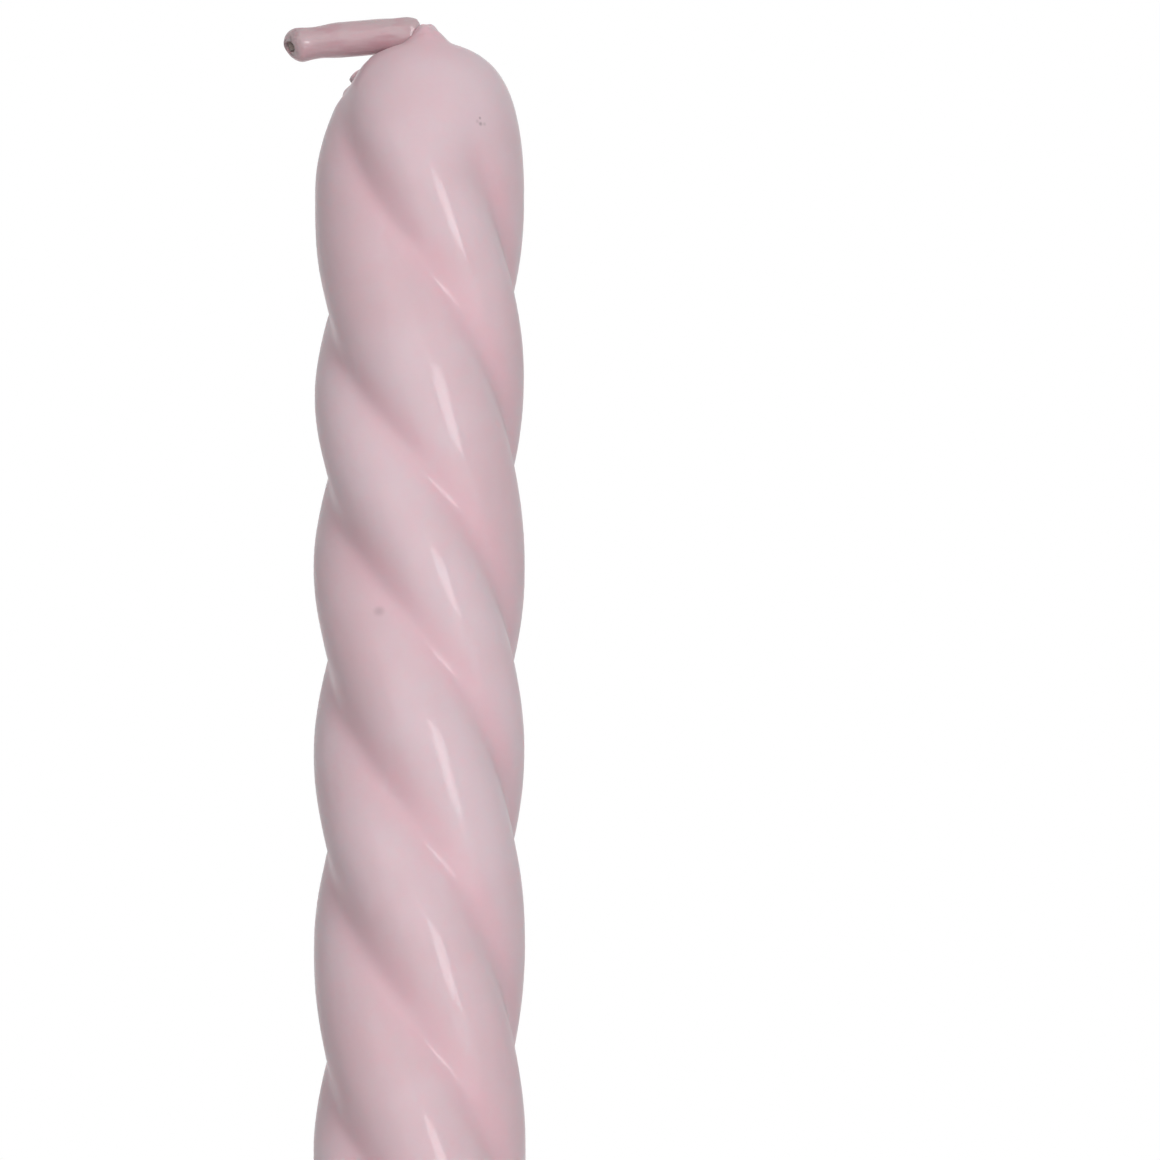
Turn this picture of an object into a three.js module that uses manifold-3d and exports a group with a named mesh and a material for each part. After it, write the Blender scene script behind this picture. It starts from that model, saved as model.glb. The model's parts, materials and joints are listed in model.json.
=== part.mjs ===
// A pink twisted garden candle on a bamboo cane.
// Millimetres and degrees. +Z is up, and the origin is the middle of the cane's square-cut foot.
// The bent wick points to -X. Heights named "above the base" start at the underside of the wax.

import {
  BoxGeometry,
  BufferAttribute,
  BufferGeometry,
  Group,
  LatheGeometry,
  MathUtils,
  Mesh,
  MeshStandardMaterial,
  SphereGeometry,
  Vector2,
} from 'three';
import { mergeVertices } from 'three/addons/utils/BufferGeometryUtils.js';
import Module from 'manifold-3d';

// Cane
const CANE_EXPOSED_LENGTH = 330;
const CANE_SET_DEPTH = 75;
const CANE_FOOT_DIAMETER = 11;
const CANE_TAPER = 0.0047;
const CANE_KNOT_HEIGHT = 150;
const CANE_KNOT_SWELL = 0.5;
const CANE_KNOT_LENGTH = 6;
const PITH_DIAMETER = 2.6;
const PITH_DEPTH = 14;

// Wax round the cane
const SETTING_WAX_WALL = 1;
const COLLAR_DROP_LEFT = 2.5;
const COLLAR_DROP_RIGHT = 0.8;
const COLLAR_LIP = 0.4;

// Candle
const WAX_HEIGHT = 462.5;
const BASE_DIAMETER = 22;
const BASE_HEIGHT = 75;
const BASE_RIM_ROUND = 2;
const CREST_DIAMETER = 21.6;
const DOME_HEIGHT = 16;
const DOME_LEAN = 0.75;
const SOCKET_OFFSET = 1.3;
const BOW = 12;

// Twist
const LOBES = 4;
const GROOVE_DEPTH = 2.3;
const GROOVE_SOFTNESS = 4;
const GROOVE_START_LENGTH = 13;
const GROOVE_FADE_LENGTH = 16;
const GROOVE_FADE_BELOW_TOP = 8;
const WIDEST_LEAD_HEIGHT = 280;
const WIDEST_LEAD = 86.5;
const FOOT_LEAD = 67.3;
const GROOVE_PHASE = 51;

// Wick and its wax coat
const WICK_DIAMETER = 2.2;
const WICK_OFFSET = 1.3;
const COAT_DIAMETER = 3.74;
const COAT_FLARE = 0.1;
const NECK_FROM_TIP = 2.4;
const FLARE_FROM_TIP = 1.1;
const STUB_LENGTH = 12.8;
const STUB_ROOT_DROOP = 2.5;
const STUB_TIP_DROOP = 9.5;
const WICK_RECESS = 0.8;
const HINGE_RISE = 0.6;

// Wax drawn up round the wick's root
const MOUND_REACH = 2.6;
const MOUND_HALF_WIDTH = 3.4;
const MOUND_RISE = 1.7;
const MOUND_DEPTH = 3;
const MOUND_SHIFT = 1.9;

// Fits and facets
const FIT_GAP = 0.3;
const WAX_SIDES = 8 * LOBES;
const CANE_SIDES = 24;
const WICK_SIDES = 12;
const TWIST_RING_STEP = 4;
const LONG_RING_STEP = 25;
const DOME_RINGS = 10;
const DOME_CURVE = 2.2;
const DOME_FULLNESS = 2.3;

const TOTAL_HEIGHT = CANE_EXPOSED_LENGTH + WAX_HEIGHT;
const CANE_TOP = CANE_EXPOSED_LENGTH + CANE_SET_DEPTH;
const HINGE_HEIGHT = TOTAL_HEIGHT + HINGE_RISE;
const COAT_RADIUS = COAT_DIAMETER / 2;
const WICK_RADIUS = WICK_DIAMETER / 2;

const wasm = await Module();
wasm.setup();

// Centre lines: one shallow bow to -X that stands upright at the top, shared by every piece.
function caneLine(z) {
  const left = 1 - z / TOTAL_HEIGHT;
  return -BOW * (1 - left * left);
}

function candleLine(z) {
  return caneLine(z) - SOCKET_OFFSET;
}

function wickLine(z) {
  return candleLine(z) - WICK_OFFSET;
}

function caneRadius(z) {
  return (CANE_FOOT_DIAMETER - CANE_TAPER * z) / 2;
}

// Heights from low to high, no further apart than the step.
function levels(low, high, step) {
  const count = Math.max(1, Math.ceil((high - low) / step));
  return Array.from({ length: count + 1 }, (_, i) => MathUtils.lerp(low, high, i / count));
}

// A turned solid about +Z from [radius, height] pairs.
function turned(pairs, sides) {
  const profile = pairs.map(([radius, height]) => new Vector2(radius, height));
  return new LatheGeometry(profile, sides).rotateX(Math.PI / 2);
}

// Moves every vertex of a geometry by a function of its place.
function warped(geometry, move) {
  const places = geometry.attributes.position;
  for (let i = 0; i < places.count; i += 1) {
    const [x, y, z] = move(places.getX(i), places.getY(i), places.getZ(i));
    places.setXYZ(i, x, y, z);
  }
  return geometry;
}

// Turns a geometry's faces over.
function turnedOver(geometry) {
  const corners = geometry.index.array;
  for (let i = 0; i < corners.length; i += 3) {
    [corners[i], corners[i + 1]] = [corners[i + 1], corners[i]];
  }
  return geometry;
}

function followLine(geometry, line) {
  return warped(geometry, (x, y, z) => [x + line(z), y, z]);
}

// Twist: the lead is widest in the candle's middle and shortens towards both ends.
function twistAngle(aboveBase) {
  const start = BASE_HEIGHT - WIDEST_LEAD_HEIGHT;
  const end = WAX_HEIGHT - WIDEST_LEAD_HEIGHT;
  const u = MathUtils.clamp(aboveBase - WIDEST_LEAD_HEIGHT, start, end);
  const slowest = 360 / WIDEST_LEAD;
  const extra = 360 / FOOT_LEAD - slowest;
  return slowest * u + (extra * u * u * u) / (3 * start * start);
}

// How much of the groove's full depth stands at a height: none on the plain foot and none on the dome.
function grooveShare(aboveBase) {
  const start = MathUtils.smoothstep(aboveBase, BASE_HEIGHT, BASE_HEIGHT + GROOVE_START_LENGTH);
  const top = WAX_HEIGHT - GROOVE_FADE_BELOW_TOP;
  const end = 1 - MathUtils.smoothstep(aboveBase, top - GROOVE_FADE_LENGTH, top);
  return start * end;
}

// Depth of the section below its crests, at an angle from the nearest groove.
function grooveDrop(fromGroove) {
  const halfLobe = 180 / LOBES;
  const soft = Math.min(halfLobe, Math.hypot(fromGroove, GROOVE_SOFTNESS));
  const share = 1 - soft / halfLobe;
  return GROOVE_DEPTH * share * share;
}

function twistedSkin(x, y, z) {
  const radius = Math.hypot(x, y);
  const angle = MathUtils.radToDeg(Math.atan2(y, x));
  const lobe = 360 / LOBES;
  const intoLobe = MathUtils.euclideanModulo(angle, lobe);
  const drop = grooveDrop(Math.min(intoLobe, lobe - intoLobe)) * grooveShare(z);
  const turn = MathUtils.degToRad(angle + GROOVE_PHASE - twistAngle(z));
  const reach = Math.max(0, radius - drop);
  return [reach * Math.cos(turn), reach * Math.sin(turn), z];
}

// The dome leans a little to +X, away from the wick's stub.
function leanDome(geometry) {
  const domeFoot = WAX_HEIGHT - DOME_HEIGHT;
  return warped(geometry, (x, y, z) => {
    return [x + DOME_LEAN * MathUtils.smoothstep(z, domeFoot, WAX_HEIGHT), y, z];
  });
}

// Outline of the wax, from the middle of its underside to the top of its dome.
function waxOutline() {
  const base = BASE_DIAMETER / 2;
  const crest = CREST_DIAMETER / 2;
  const outline = [[0, 0]];
  for (const turn of [0, 30, 60, 90]) {
    const angle = MathUtils.degToRad(turn);
    outline.push([
      base - BASE_RIM_ROUND * (1 - Math.sin(angle)),
      BASE_RIM_ROUND * (1 - Math.cos(angle)),
    ]);
  }
  for (const height of levels(BASE_RIM_ROUND, BASE_HEIGHT, LONG_RING_STEP).slice(1)) {
    outline.push([base, height]);
  }
  const domeFoot = WAX_HEIGHT - DOME_HEIGHT;
  for (const height of levels(BASE_HEIGHT, domeFoot, TWIST_RING_STEP).slice(1)) {
    const grown = MathUtils.smoothstep(height, BASE_HEIGHT, BASE_HEIGHT + GROOVE_START_LENGTH);
    outline.push([MathUtils.lerp(base, crest, grown), height]);
  }
  for (let ring = 1; ring <= DOME_RINGS; ring += 1) {
    const depthShare = (1 - ring / DOME_RINGS) ** 2;
    const width = (1 - (1 - depthShare) ** DOME_CURVE) ** (1 / DOME_FULLNESS);
    outline.push([crest * width, WAX_HEIGHT - DOME_HEIGHT * depthShare]);
  }
  return outline;
}

// A stub-shaped turned solid: distance along the bend, from the hinge point to the tip, is its axis.
function alongStub(geometry) {
  const root = MathUtils.degToRad(STUB_ROOT_DROOP);
  const bend = MathUtils.degToRad(STUB_TIP_DROOP - STUB_ROOT_DROOP) / STUB_LENGTH;
  const hingeX = wickLine(HINGE_HEIGHT);
  return warped(geometry, (x, y, s) => {
    const droop = root + bend * s;
    const centreX = hingeX - (Math.sin(droop) - Math.sin(root)) / bend;
    const centreZ = HINGE_HEIGHT + (Math.cos(droop) - Math.cos(root)) / bend;
    return [centreX - x * Math.sin(droop), y, centreZ + x * Math.cos(droop)];
  });
}

// Round root end of the stub as [radius, distance] pairs about the hinge point.
function ballEnd(radius) {
  return [0, 22.5, 45, 67.5, 90].map((turn) => {
    const angle = MathUtils.degToRad(turn);
    return [radius * Math.sin(angle), -radius * Math.cos(angle)];
  });
}

function solidOf(geometry) {
  const bare = geometry.clone();
  bare.deleteAttribute('normal');
  bare.deleteAttribute('uv');
  const merged = mergeVertices(bare);
  const vertProperties = new Float32Array(merged.attributes.position.array);
  const triVerts = new Uint32Array(merged.index.array);
  return new wasm.Manifold(new wasm.Mesh({ numProp: 3, vertProperties, triVerts }));
}

function geometryOf(solid) {
  const { vertProperties, triVerts } = solid.getMesh();
  const geometry = new BufferGeometry();
  geometry.setAttribute('position', new BufferAttribute(vertProperties, 3));
  geometry.setIndex(new BufferAttribute(triVerts, 1));
  return geometry;
}

function wickMound() {
  const mound = new SphereGeometry(1, 24, 16);
  mound.rotateX(Math.PI / 2);
  mound.scale(MOUND_REACH, MOUND_HALF_WIDTH, MOUND_DEPTH);
  const top = TOTAL_HEIGHT + MOUND_RISE;
  return mound.translate(wickLine(TOTAL_HEIGHT) + MOUND_SHIFT, 0, top - MOUND_DEPTH);
}

// Seat of the stub in the dome: its rest trough, and the free way that it swings up through.
function stubSeat() {
  const radius = COAT_RADIUS + FIT_GAP;
  const reach = STUB_LENGTH + COAT_RADIUS;
  const bed = ballEnd(radius);
  for (const along of levels(0, reach, COAT_DIAMETER).slice(1)) {
    bed.push([radius, along]);
  }
  bed.push([0, reach]);
  const trough = alongStub(turned(bed, CANE_SIDES));
  const swing = new BoxGeometry(reach, 2 * radius, reach);
  swing.translate(wickLine(HINGE_HEIGHT) - reach / 2, 0, HINGE_HEIGHT + reach / 2);
  return solidOf(trough).add(solidOf(swing));
}

function wickChannel() {
  const radius = WICK_RADIUS + FIT_GAP;
  const rings = levels(CANE_TOP, HINGE_HEIGHT, LONG_RING_STEP);
  const outline = [[0, CANE_TOP], ...rings.map((z) => [radius, z]), [0, HINGE_HEIGHT]];
  return followLine(turned(outline, WICK_SIDES), wickLine);
}

function socketRadius(z) {
  return caneRadius(z) + FIT_GAP + SETTING_WAX_WALL + FIT_GAP;
}

function caneSocket() {
  const low = CANE_EXPOSED_LENGTH - BASE_RIM_ROUND;
  const high = CANE_TOP + FIT_GAP;
  const rings = levels(low, high, LONG_RING_STEP);
  const outline = [[0, low], ...rings.map((z) => [socketRadius(z), z]), [0, high]];
  return followLine(turned(outline, CANE_SIDES), caneLine);
}

// The skin's outline runs from the top down, so that its facets lie along the left-hand twist.
function waxBody() {
  const skin = turnedOver(turned(waxOutline().reverse(), WAX_SIDES));
  leanDome(warped(skin, twistedSkin)).translate(0, 0, CANE_EXPOSED_LENGTH);
  const column = solidOf(followLine(skin, candleLine));
  const whole = column.add(solidOf(wickMound()));
  const seated = whole.subtract(stubSeat());
  return geometryOf(seated.subtract(solidOf(wickChannel())).subtract(solidOf(caneSocket())));
}

function embeddedWick() {
  const low = CANE_TOP + 2 * FIT_GAP;
  const high = HINGE_HEIGHT - COAT_RADIUS - FIT_GAP;
  const rings = levels(low, high, LONG_RING_STEP);
  const outline = [[0, low], ...rings.map((z) => [WICK_RADIUS, z]), [0, high]];
  return followLine(turned(outline, WICK_SIDES), wickLine);
}

function wickStub() {
  const low = FIT_GAP;
  const high = STUB_LENGTH - WICK_RECESS;
  const rings = levels(low, high, COAT_DIAMETER);
  const outline = [[0, low], ...rings.map((s) => [WICK_RADIUS, s]), [0, high]];
  return alongStub(turned(outline, WICK_SIDES));
}

// The wax skin round the stub: a ball end at the bend, a slight neck and flare, and an open cut end.
function wickWaxCoat() {
  const bore = WICK_RADIUS + FIT_GAP;
  const flare = COAT_RADIUS + COAT_FLARE;
  const neck = COAT_RADIUS - COAT_FLARE;
  const barrel = levels(0, STUB_LENGTH - 2 * NECK_FROM_TIP, COAT_DIAMETER).slice(1);
  const outline = [
    ...ballEnd(COAT_RADIUS),
    ...barrel.map((s) => [COAT_RADIUS, s]),
    [neck, STUB_LENGTH - NECK_FROM_TIP],
    [flare, STUB_LENGTH - FLARE_FROM_TIP],
    [(flare + bore) / 2, STUB_LENGTH],
    [bore, STUB_LENGTH],
    [bore, 0],
    [0, 0],
  ];
  return alongStub(turned(outline, 2 * WICK_SIDES));
}

function bambooCane() {
  const pith = PITH_DIAMETER / 2;
  const knotFoot = CANE_KNOT_HEIGHT - CANE_KNOT_LENGTH / 2;
  const knotEnd = CANE_KNOT_HEIGHT + CANE_KNOT_LENGTH / 2;
  const outline = [
    [0, PITH_DEPTH],
    [pith, PITH_DEPTH],
    [pith, 0],
    ...levels(0, knotFoot, LONG_RING_STEP).map((z) => [caneRadius(z), z]),
    [caneRadius(CANE_KNOT_HEIGHT) + CANE_KNOT_SWELL, CANE_KNOT_HEIGHT],
    ...levels(knotEnd, CANE_TOP, LONG_RING_STEP).map((z) => [caneRadius(z), z]),
    [0, CANE_TOP],
  ];
  return followLine(turned(outline, CANE_SIDES), caneLine);
}

// The poured sleeve in the socket, with the rim that was squeezed out below, lower on the left.
function caneSettingWax() {
  const inside = (z) => caneRadius(z) + FIT_GAP;
  const outside = (z) => inside(z) + SETTING_WAX_WALL;
  const low = CANE_EXPOSED_LENGTH - COLLAR_DROP_LEFT;
  const rings = levels(CANE_EXPOSED_LENGTH, CANE_TOP, LONG_RING_STEP);
  const outline = [
    [inside(low), low],
    [inside(low) + COLLAR_LIP, low],
    ...rings.map((z) => [outside(z), z]),
    ...rings.toReversed().map((z) => [inside(z), z]),
    [inside(low), low],
  ];
  const sleeve = warped(turned(outline, CANE_SIDES), (x, y, z) => {
    const rightness = (1 + x / Math.hypot(x, y)) / 2;
    const drop = MathUtils.lerp(COLLAR_DROP_LEFT, COLLAR_DROP_RIGHT, rightness);
    const below = Math.max(0, CANE_EXPOSED_LENGTH - z) / COLLAR_DROP_LEFT;
    return [x, y, Math.max(z, CANE_EXPOSED_LENGTH) - below * drop];
  });
  return followLine(sleeve, caneLine);
}

function piece(name, geometry, color, roughness) {
  const material = new MeshStandardMaterial({ color, roughness, metalness: 0 });
  const mesh = new Mesh(geometry, material);
  mesh.name = name;
  return mesh;
}

const candle = new Group();
candle.add(
  piece('wax_body', waxBody(), 0xd3b5bc, 0.35),
  piece('wick', embeddedWick(), 0xe8e2d6, 0.9),
  piece('cane_setting_wax', caneSettingWax(), 0xc9aab0, 0.5),
  piece('bamboo_cane', bambooCane(), 0x87684a, 0.55),
);

const wickTip = new Group();
wickTip.add(
  piece('wick_stub', wickStub(), 0x8d8480, 0.9),
  piece('wick_wax_coat', wickWaxCoat(), 0xc9a9b0, 0.4),
);

const twistedCandle = new Group();
twistedCandle.name = 'twisted_candle';
twistedCandle.add(candle, wickTip);

export default twistedCandle;
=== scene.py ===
"""Dresses the twisted candle: its wax, wick, setting wax, cane and studio stage.

Sizes are metres and angles radians, except in tables that say millimetres or degrees. They are in
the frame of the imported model: +Z up, the cane's foot at the origin, the bent wick pointing to -X.
"""

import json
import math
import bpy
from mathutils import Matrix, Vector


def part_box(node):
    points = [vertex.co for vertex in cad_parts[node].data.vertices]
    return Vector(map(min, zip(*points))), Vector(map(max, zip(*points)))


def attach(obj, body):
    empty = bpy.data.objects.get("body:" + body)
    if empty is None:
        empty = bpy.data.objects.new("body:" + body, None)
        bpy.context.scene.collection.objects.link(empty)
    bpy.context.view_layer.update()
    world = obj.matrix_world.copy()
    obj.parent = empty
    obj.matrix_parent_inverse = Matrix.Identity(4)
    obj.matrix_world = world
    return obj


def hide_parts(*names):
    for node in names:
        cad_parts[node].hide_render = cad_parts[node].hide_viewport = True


bl_info = {
    "name": "Twisted Candle",
    "version": (1, 0, 0),
    "blender": (4, 5, 0),
    "location": "View3D > Sidebar > Candle",
    "description": "Builds a twisted garden candle on a cane, with its wick and a studio stage",
    "category": "Add Mesh",
}

import bmesh
import bpy
from bpy.props import FloatProperty, FloatVectorProperty, IntProperty, PointerProperty
from mathutils import Vector, noise

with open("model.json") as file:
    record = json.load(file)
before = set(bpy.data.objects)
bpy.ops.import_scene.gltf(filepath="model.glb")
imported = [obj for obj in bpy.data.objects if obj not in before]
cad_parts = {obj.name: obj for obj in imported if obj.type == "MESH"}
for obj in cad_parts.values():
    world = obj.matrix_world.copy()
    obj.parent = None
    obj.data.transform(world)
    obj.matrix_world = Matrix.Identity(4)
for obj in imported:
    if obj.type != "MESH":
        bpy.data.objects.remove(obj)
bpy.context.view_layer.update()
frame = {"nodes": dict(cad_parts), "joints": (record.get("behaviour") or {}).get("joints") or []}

MM = 0.001
HINGE = Vector(frame["joints"][0]["pos_m"])
# Height of the hinge above the wax's top
HINGE_RISE = 0.6 * MM
TOP = HINGE.z - HINGE_RISE
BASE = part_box("wax_body")[0].z
CANE_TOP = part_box("bamboo_cane")[1].z
WAX_HEIGHT = TOP - BASE
# How far the wax's line lies to the left of the cane's, and their bow from the foot to the top
SOCKET_OFFSET = 1.3 * MM
BOW = 12 * MM


def painted(red, green, blue):
    """A linear colour from 0 to 255 screen values."""
    shares = (value / 255 for value in (red, green, blue))
    return tuple(s / 12.92 if s < 0.04045 else ((s + 0.055) / 1.055) ** 2.4 for s in shares)


def length_property(name, description, default):
    return FloatProperty(name=name, description=description, default=default, unit="LENGTH")


def angle_property(name, description, default):
    return FloatProperty(name=name, description=description, default=default, subtype="ANGLE")


def colour_property(name, description, default):
    return FloatVectorProperty(
        name=name, description=description, default=default, subtype="COLOR", size=3
    )


class WaxSettings(bpy.types.PropertyGroup):
    """Sizes and colours of the wax body."""

    base_diameter: length_property("Foot diameter", "Diameter of the plain round foot", 21.74 * MM)
    base_height: length_property(
        "Foot height", "Height of the plain foot below the twist", 75 * MM
    )
    rim_round: length_property(
        "Rim round", "Radius of the round between the foot's side and its underside", 2.6 * MM
    )
    crest_diameter: length_property(
        "Crest diameter", "Diameter over the twisted crests", 21.5 * MM
    )
    groove_depth: length_property(
        "Groove depth", "Depth of the grooves below the crests", 2.5 * MM
    )
    groove_softness: angle_property(
        "Groove softness", "Angle over which the bottom of a groove is rounded", math.radians(9.6)
    )
    widest_lead: length_property(
        "Widest lead", "Height of one full turn where the twist is most open", 86.5 * MM
    )
    foot_lead: length_property(
        "Foot lead", "Height of one full turn at the foot of the twist", 67.3 * MM
    )
    dome_height: length_property("Dome height", "Height of the rounded top", 16 * MM)
    dome_lean: length_property(
        "Dome lean", "How far the dome leans away from the bent wick", 0.75 * MM
    )
    lobes: IntProperty(
        name="Lobes",
        description="Number of lobes round the twist",
        default=4,
        min=2,
    )
    wax_colour: colour_property("Wax", "Main colour of the wax", painted(209, 181, 188))
    pale_colour: colour_property(
        "Pale wax", "Colour of the paler clouds in the wax", painted(213, 191, 198)
    )
    # Pink painted as shade in the grooves, also used for the pinker patch round the wick's root
    groove_shade_and_root_pink: colour_property(
        "Deep wax", "Colour of the wax in the grooves", painted(216, 178, 187)
    )


class WickSettings(bpy.types.PropertyGroup):
    """Sizes and colours of the wick's stub and its wax coat."""

    coat_diameter: length_property("Coat diameter", "Diameter over the stub's wax coat", 3.66 * MM)
    cotton_diameter: length_property("Cotton diameter", "Diameter of the braided cotton", 2.2 * MM)
    stub_length: length_property(
        "Stub length", "Length of the stub from its bend to its tip", 12.8 * MM
    )
    root_droop: angle_property(
        "Root droop", "Slope of the stub at its bend, below the horizontal", math.radians(2.5)
    )
    tip_droop: angle_property(
        "Tip droop", "Slope of the stub at its tip, below the horizontal", math.radians(9.5)
    )
    coat_colour: colour_property("Coat", "Colour of the wax on the stub", painted(188, 158, 164))
    # Painted light: the stub's upper side is made greyer and paler, as lit from above
    lit_top_colour: colour_property(
        "Greyed coat", "Colour of the greyed wax on the stub's upper side", painted(184, 168, 170)
    )
    cotton_colour: colour_property("Cotton", "Colour of the cotton", painted(152, 136, 130))


class CaneSettings(bpy.types.PropertyGroup):
    """Sizes and colours of the bamboo cane and the wax that sets it."""

    foot_diameter: length_property(
        "Foot diameter", "Diameter of the cane at its square-cut foot", 11 * MM
    )
    taper: FloatProperty(
        name="Taper",
        description="Loss of diameter for each unit of height",
        default=0.0047,
    )
    knot_height: length_property(
        "Knot height", "Height of the cane's knot above its foot", 150 * MM
    )
    knot_swell: length_property("Knot swell", "How far the knot stands out of the cane", 0.5 * MM)
    collar_drop_left: length_property(
        "Collar drop, left",
        "How far the setting wax hangs below the foot on the wick's side",
        1.9 * MM,
    )
    collar_drop_right: length_property(
        "Collar drop, right",
        "How far the setting wax hangs below the foot on the other side",
        0.8 * MM,
    )
    light_colour: colour_property(
        "Light streaks", "Colour of the cane's pale streaks", painted(138, 107, 67)
    )
    brown_colour: colour_property("Brown", "Main colour of the cane", painted(90, 66, 39))
    russet_colour: colour_property(
        "Russet patches", "Colour of the cane's red-brown patches", painted(112, 68, 36)
    )
    dark_colour: colour_property(
        "Dark streaks", "Colour of the cane's dark streaks and specks", painted(58, 38, 22)
    )


class StageSettings(bpy.types.PropertyGroup):
    """The studio round the candle."""

    view_width: length_property("View width", "Width of the picture at the candle", 118.6 * MM)
    view_side: length_property(
        "View side",
        "How far the picture's middle lies to the right of the candle's top",
        16.5 * MM,
    )
    view_height: length_property(
        "View height", "Height of the picture's middle above the candle's underside", 405.1 * MM
    )
    camera_distance: length_property(
        "Camera distance", "Level distance from the camera to the candle", 1.42
    )
    camera_height: length_property(
        "Camera height", "Height of the camera above the floor, from where it looks up", 0.38
    )
    floor_colour: colour_property("Floor", "Colour of the floor", painted(236, 235, 234))


# Slack that keeps a length of a whole number of steps from getting one step more
STEP_SLACK = 1e-6


def levels(low, high, step):
    """Values from low to high, no further apart than step."""
    count = max(1, math.ceil(abs(high - low) / step - STEP_SLACK))
    return [low + (high - low) * i / count for i in range(count + 1)]


def smoothstep(low, high, value):
    """0 up to low, 1 from high on, and a smooth rise between them."""
    share = min(1.0, max(0.0, (value - low) / (high - low)))
    return share * share * (3 - 2 * share)


def mix(first, second, share):
    return first + (second - first) * share


def cane_line(height):
    """Sideways place of the cane's centre line, one shallow bow that stands upright at the top."""
    left = 1 - height / TOP
    return -BOW * (1 - left * left)


def candle_line(height):
    """Sideways place of the wax's centre line, beside the cane's."""
    return cane_line(height) - SOCKET_OFFSET


def radial(angle):
    """Level unit vector at an angle about the candle's length."""
    return Vector((math.cos(angle), math.sin(angle), 0))


def relief(point, rise, size, offset):
    """Smooth noise up to a rise, with lumps of a size; the offset tells the reliefs apart."""
    return rise * noise.noise(point / size + Vector((offset, offset * 0.7, -offset)))


def unit_tube(sides, rings):
    """An upright tube of unit radius, its rings one unit apart and the lowest at height 0."""
    bm = bmesh.new()
    height = rings - 1
    bmesh.ops.create_cone(bm, cap_ends=False, segments=sides, radius1=1, radius2=1, depth=height)
    bmesh.ops.translate(bm, verts=bm.verts[:], vec=(0, 0, height / 2))
    upright = [edge for edge in bm.edges if abs(edge.verts[0].co.z - edge.verts[1].co.z) > 0.5]
    bmesh.ops.subdivide_edges(bm, edges=upright, cuts=rings - 2, use_grid_fill=True)
    return bm


# Radius of the last ring before a pole, and of the same on small ends
POLE_RADIUS = 0.3 * MM
SMALL_POLE_RADIUS = 0.2 * MM


def turned_tube(sides, outline, place):
    """A closed turned shape with poles at both ends; place(entry, angle) gives each point."""
    bm = unit_tube(sides, len(outline))
    ends = ([], [])
    for vert in bm.verts:
        ring = round(vert.co.z)
        if ring == 0:
            ends[0].append(vert)
        if ring == len(outline) - 1:
            ends[1].append(vert)
        vert.co = place(outline[ring], math.atan2(vert.co.y, vert.co.x))
    for loop in ends:
        middle = sum((vert.co for vert in loop), Vector()) / len(loop)
        bmesh.ops.pointmerge(bm, verts=loop, merge_co=middle)
    bmesh.ops.recalc_face_normals(bm, faces=bm.faces[:])
    return bm


SEAM_REACH = 0.001 * MM


def ring_tube(sides, outline, place):
    """A closed turned ring: the outline's last entry meets its first."""
    bm = unit_tube(sides, len(outline) + 1)
    for vert in bm.verts:
        ring = round(vert.co.z) % len(outline)
        vert.co = place(outline[ring], math.atan2(vert.co.y, vert.co.x))
    bmesh.ops.remove_doubles(bm, verts=bm.verts[:], dist=SEAM_REACH)
    bmesh.ops.recalc_face_normals(bm, faces=bm.faces[:])
    return bm


def add_piece(name, bm, body, node, material):
    """Makes a smooth object of a bmesh that rides on a body and stands for a node of the frame."""
    for face in bm.faces:
        face.smooth = True
    mesh = bpy.data.meshes.new(name)
    bm.to_mesh(mesh)
    bm.free()
    piece = bpy.data.objects.new(name, mesh)
    bpy.context.scene.collection.objects.link(piece)
    mesh.materials.append(material)
    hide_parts(node)
    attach(piece, body)


# Shape of the wax

GROOVE_LEAD_IN = 2.5 * MM
GROOVE_START = 9 * MM
GROOVE_FADE = 13 * MM
# Turn by which the painted groove shade lies off the groove's bottom, onto the flank in shade
GROOVE_SHADE_SHIFT = math.radians(4)
TWIST_EASE_LENGTH = 26 * MM
TWIST_EASE = math.radians(45)
WIDEST_LEAD_HEIGHT = 280 * MM
GROOVE_PHASE = math.radians(51)
DOME_CURVE = 2.2
DOME_FULLNESS = 2.3
DOME_RINGS = 110
DOME_DIP = 0.5 * MM
WAX_SIDES = 160
TWIST_STEP = 1.0 * MM
FOOT_STEP = 1.2 * MM
SOCKET_WALL = 1.6 * MM
SOCKET_STEP = 9 * MM
SOCKET_LOWEST = 0.4 * MM
MOUTH_WIDER = 0.3 * MM
# Rings of the underside, as (share of the way from socket to rim, share of the candle's line)
UNDERSIDE = ((0.02, 0.05), (0.3, 0.4), (0.6, 0.75), (0.85, 1.0))
RIM_TURN = math.radians(15)
# Reliefs are (rise, size of the lumps, noise offset)
WAX_RELIEFS = ((0.1 * MM, 22 * MM, 0), (0.05 * MM, 6 * MM, 31), (0.015 * MM, 2.2 * MM, 57))
RIM_RELIEF = (0.22 * MM, 2.6 * MM, 13)
RIM_REACH = (1.5 * MM, 6 * MM)
MOUND_RELIEF = (0.2, 0.9 * MM, 5)
# The top stays even within this radius
CALM_RADIUS = 5 * MM
# Shares of the crest's radius between which the dome's top dips
DIP_REACH = (0.85, 0.3)
MOUND_SHIFT = 2.03 * MM
MOUND_REACH = 3.2 * MM
MOUND_FORWARD = 1 * MM
MOUND_HALF_WIDTH = 6.5 * MM
MOUND_RISE = 1.95 * MM
SEAT_GAP = 0.05 * MM
ROOT_REACH = 1.4 * MM


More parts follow.
